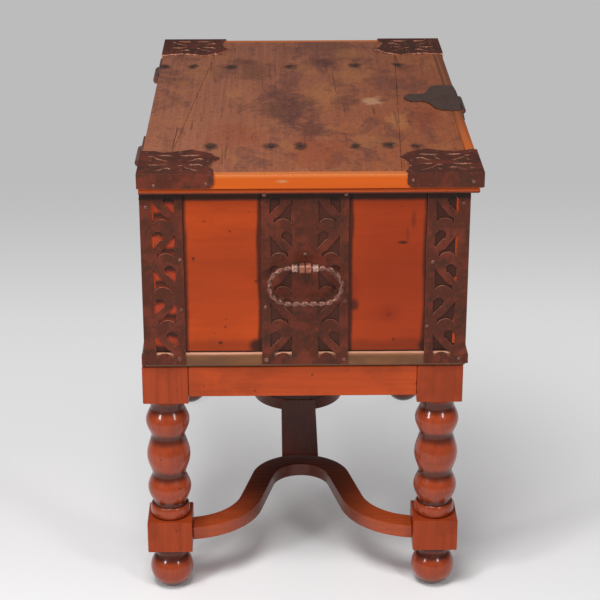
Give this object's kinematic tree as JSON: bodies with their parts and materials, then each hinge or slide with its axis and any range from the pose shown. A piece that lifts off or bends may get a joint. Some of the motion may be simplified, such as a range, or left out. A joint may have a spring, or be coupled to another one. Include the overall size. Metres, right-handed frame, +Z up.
{
  "type": "chest on stand",
  "caption": "Iron-bound board chest with a hinged lid and drop ring handles, on a stand with bobbin-turned legs and curved flat stretchers.",
  "frame": {"origin": "middle of the object's box, on the floor", "axes": "+X along the chest to its right end seen from the front, +Y to the back, +Z up; the front faces -Y"},
  "size_m": [0.8074, 0.5364, 0.7096],
  "materials": {
    "panel_wood": "oiled and waxed orange-brown softwood, worn",
    "lid_wood": "weathered brown softwood, dull",
    "moulding_wood": "bright orange waxed wood",
    "bottom_wood": "golden brown worn wood",
    "stand_wood": "red-brown polished wood",
    "sheet_iron": "rusted and waxed sheet iron",
    "forged_iron": "rubbed forged iron"
  },
  "bodies": {
    "stand": {"leg_front_left": "stand_wood", "leg_front_right": "stand_wood", "leg_back_left": "stand_wood", "leg_back_right": "stand_wood", "rail_front": "stand_wood", "rail_back": "stand_wood", "rail_left": "stand_wood", "rail_right": "stand_wood", "stretcher_left": "stand_wood", "stretcher_right": "stand_wood", "stretcher_centre": "stand_wood"},
    "chest": {"front_panel": "panel_wood", "back_panel": "panel_wood", "left_end_panel": "panel_wood", "right_end_panel": "panel_wood", "bottom_board": "bottom_wood", "end_plate_left": "sheet_iron", "end_plate_right": "sheet_iron", "handle_eye_left_front": "forged_iron", "handle_eye_left_back": "forged_iron", "handle_eye_right_front": "forged_iron", "handle_eye_right_back": "forged_iron", "corner_iron_front_left": "sheet_iron", "corner_iron_front_right": "sheet_iron", "corner_iron_back_right": "sheet_iron", "corner_iron_back_left": "sheet_iron", "lock_plate": "sheet_iron", "lock_case": "sheet_iron", "hinge_strap_left": "forged_iron", "hinge_strap_right": "forged_iron", "hinge_pin_left": "forged_iron", "hinge_pin_right": "forged_iron"},
    "lid": {"lid_board_front": "lid_wood", "lid_board_middle": "lid_wood", "lid_board_back": "lid_wood", "lid_moulding_front": "moulding_wood", "lid_moulding_left": "moulding_wood", "lid_moulding_right": "moulding_wood", "lid_batten_left": "lid_wood", "lid_batten_right": "lid_wood", "lid_iron_front_left": "sheet_iron", "lid_iron_front_right": "sheet_iron", "lid_iron_back_left": "sheet_iron", "lid_iron_back_right": "sheet_iron", "hasp_leaf": "sheet_iron", "hasp_pin": "forged_iron", "hinge_leaf_left": "forged_iron", "hinge_leaf_right": "forged_iron"},
    "hasp": {"hasp_strap": "sheet_iron"},
    "handle_left": {"handle_left": "forged_iron"},
    "handle_right": {"handle_right": "forged_iron"},
    "lock_bolt": {"lock_bolt": "forged_iron"}
  },
  "joints": [
    {"name": "chest_lift", "type": "slide", "parent": "stand", "child": "chest", "axis": [0, 0, 1], "range_m": [0, 0.15]},
    {"name": "lid_hinge", "type": "hinge", "parent": "chest", "child": "lid", "pos_m": [0, 0.257, 0.6845], "axis": [-1, 0, 0], "range_deg": [0, 100]},
    {"name": "hasp_swing", "type": "hinge", "parent": "lid", "child": "hasp", "pos_m": [0, -0.2565, 0.6955], "axis": [-1, 0, 0], "range_deg": [-13.3, 170]},
    {"name": "handle_left_swing", "type": "hinge", "parent": "chest", "child": "handle_left", "pos_m": [-0.3963, 0.0075, 0.561], "axis": [0, 1, 0], "range_deg": [-11, 165]},
    {"name": "handle_right_swing", "type": "hinge", "parent": "chest", "child": "handle_right", "pos_m": [0.3963, 0.0075, 0.561], "axis": [0, -1, 0], "range_deg": [-11, 165]},
    {"name": "bolt_slide", "type": "slide", "parent": "chest", "child": "lock_bolt", "axis": [1, 0, 0], "range_m": [0, 0.011]}
  ]
}
